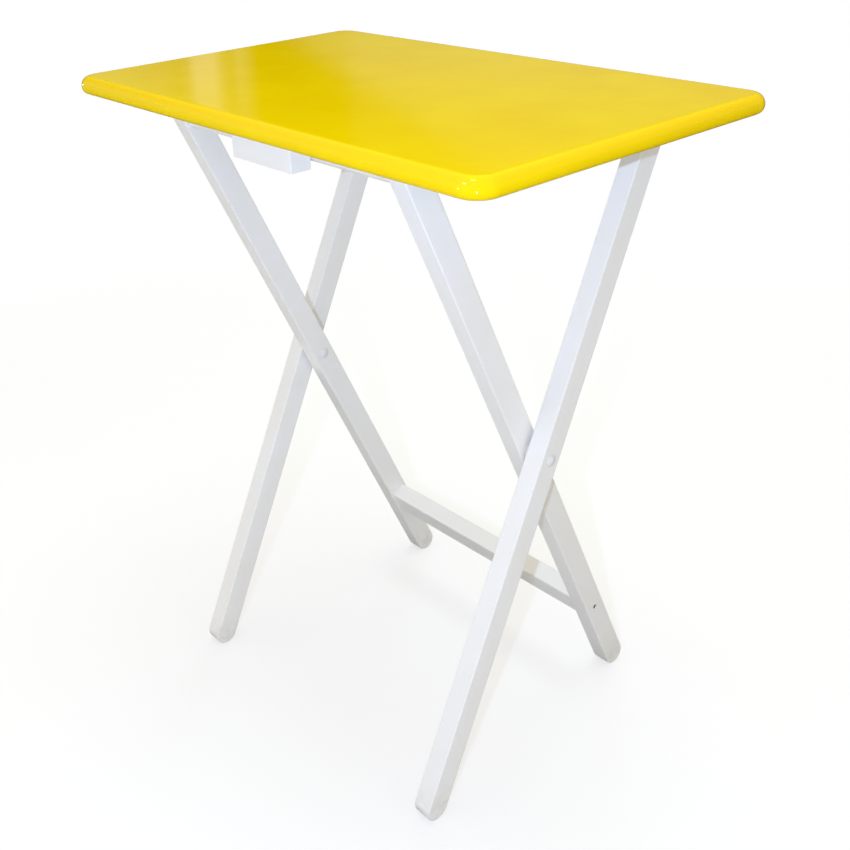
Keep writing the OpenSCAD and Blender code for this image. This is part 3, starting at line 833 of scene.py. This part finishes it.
def makeTent():
    # Cards all round the table that only its gloss sees: a closed drum whose brightness follows azimuth
    # and height. It gives the top its pale sheen with a dark gap across it, and the edges their depth.
    angle = np.linspace(0, 2 * np.pi, tent["columns"], endpoint=False)
    height = np.linspace(tent["floor"], tent["top"], tent["rows"])
    grid = np.stack(np.broadcast_arrays(
        tent["radius"] * np.cos(angle)[None], tent["radius"] * np.sin(angle)[None], height[:, None]), -1)
    mesh = bpy.data.meshes.new("tent")
    count = tent["columns"]
    ends = [list(range(count)), list(range((tent["rows"] - 1) * count, tent["rows"] * count))[::-1]]
    mesh.from_pydata(grid.reshape(-1, 3), [], [f[::-1] for f in bands(tent["rows"], count)] + ends)
    material = bpy.data.materials.new("tentCards")
    material.use_nodes = True
    tree = material.node_tree
    tree.nodes.clear()
    here = addNode(tree, "ShaderNodeTexCoord").outputs["Object"]
    place = addNode(tree, "ShaderNodeSeparateXYZ", {}, {0: here})
    around = mathNode(tree, "ARCTAN2", place.outputs["Y"], place.outputs["X"])
    around = mathNode(tree, "MULTIPLY", around, 180 / math.pi)
    lift = mathNode(tree, "SUBTRACT", place.outputs["Z"], tent["slantAt"])
    total = 0.0
    for card in tent["cards"]:
        leant = mathNode(tree, "MULTIPLY_ADD", lift, card["slant"], around)
        turn = card["around"]  # the ramp spans the card alone, because a ramp holds only 256 steps
        level = mathNode(tree, "MULTIPLY", rampNode(tree, leant, turn[0][0], turn[-1][0], turn),
                         rampNode(tree, place.outputs["Z"], 0.0, tent["top"], card["up"]))
        total = mathNode(tree, "ADD", level, total)
    glow = addNode(tree, "ShaderNodeEmission", {}, {"Color": (1, 1, 1, 1), "Strength": total})
    tree.links.new(glow.outputs[0], tree.nodes.new("ShaderNodeOutputMaterial").inputs["Surface"])
    mesh.materials.append(material)
    cards = bpy.data.objects.new("tent", mesh)
    bpy.context.scene.collection.objects.link(cards)
    cards.visible_camera = cards.visible_diffuse = cards.visible_shadow = False
    cards.visible_transmission = cards.visible_volume_scatter = False


cameraPlace = {
    "azimuth": 50.0, "elevation": 24.112, "roll": -2.38, "target": (-0.09506, 0.0421, 0.363),
    "distance": 1.23684, "lens": 47.503, "sensor": 36, "shift": (0.06229, -0.10471), "clip": (0.05, 100),
}


def cameraAxes():
    a, e, roll = (math.radians(cameraPlace[k]) for k in ("azimuth", "elevation", "roll"))
    back = Vector((math.sin(a) * math.cos(e), -math.cos(a) * math.cos(e), math.sin(e)))
    right = (-back).cross(Vector((0, 0, 1))).normalized()
    up = right.cross(-back)
    return right * math.cos(roll) + up * math.sin(roll), up * math.cos(roll) - right * math.sin(roll), back


def makeCamera():
    right, up, back = cameraAxes()
    data = bpy.data.cameras.new("camera")
    data.sensor_width, data.lens = cameraPlace["sensor"], cameraPlace["lens"]
    data.shift_x, data.shift_y = cameraPlace["shift"]
    data.clip_start, data.clip_end = cameraPlace["clip"]
    camera = bpy.data.objects.new("camera", data)
    at = Vector(cameraPlace["target"]) + back * cameraPlace["distance"]
    camera.matrix_world = Matrix([[right[i], up[i], back[i], at[i]] for i in range(3)] + [[0, 0, 0, 1]])
    bpy.context.scene.collection.objects.link(camera)
    bpy.context.scene.camera = camera
    return at


def addLamp(name, at, aim, size, power, tint, diffuse=True, glossy=False):
    data = bpy.data.lights.new(name, "AREA")
    data.shape, data.size, data.energy, data.color = "DISK", size, power, tint
    lamp = bpy.data.objects.new(name, data)
    lamp.location = at
    lamp.rotation_euler = (Vector(at) - Vector(aim)).to_track_quat("Z", "Y").to_euler()
    lamp.visible_camera = False
    lamp.visible_diffuse, lamp.visible_glossy = diffuse, glossy
    bpy.context.scene.collection.objects.link(lamp)


makeWorld()
makeFloor()
makeTent()
cameraAt = makeCamera()
right, up, _ = cameraAxes()
middle = Vector((0, 0, 0.4))
flash = {"left": 0.11, "below": 0.015, "back": 1.15}  # metres from the camera, and a factor on the distance
flashAt = middle + (cameraAt - right * flash["left"] - up * flash["below"] - middle) * flash["back"]
lamps = {  # place, what it faces, size, power, tint
    "flash": (flashAt, middle, 0.016, 8.2, (0.55, 0.68, 1.0)),
    "ceiling": ((-0.05, 0.25, 2.5), middle, 1.5, 18.8, (0.89, 1.0, 0.9)),
    "frontFill": ((-0.8, -1.0, 0.15), (-0.15, 0.05, 0.35), 0.4, 1.0, (1.0, 1.0, 0.97)),
    "sideFill": ((3.4, -0.15, 0.95), (0, 0, 0.6), 1.0, 6.4, (1.0, 0.96, 0.84)),
    "backFill": ((-1.1, 1.5, 0.75), middle, 0.6, 4.0, (0.6, 0.75, 1.0)),
}
for name, lamp in lamps.items():
    addLamp(name, *lamp)

# Small lamps that only make the sparkles on the board's corners: corner, azimuth, elevation, size, power.
sparkle = {
    "distance": 1.6, "front": Vector((0.27, -0.168, 0.652)), "left": Vector((-0.27, -0.168, 0.652)),
    "lamps": [
        ("front", -105, 40, 0.24, 7.0), ("front", -120, -4, 0.2, 2.5), ("front", -50, -17, 0.2, 4.0),
        ("front", -129, 80, 0.3, 3.0), ("left", -166, 2, 0.16, 3.0),
    ],
}
for number, (corner, azimuth, elevation, size, power) in enumerate(sparkle["lamps"]):
    a, e = math.radians(azimuth), math.radians(elevation)
    way = Vector((math.cos(a) * math.cos(e), math.sin(a) * math.cos(e), math.sin(e))) * sparkle["distance"]
    aim = sparkle[corner]
    addLamp("sparkle%d" % number, aim + way, aim, size, power, (1, 1, 1), diffuse=False, glossy=True)

scene = bpy.context.scene
scene.view_settings.view_transform = "Standard"
print("studio ready")
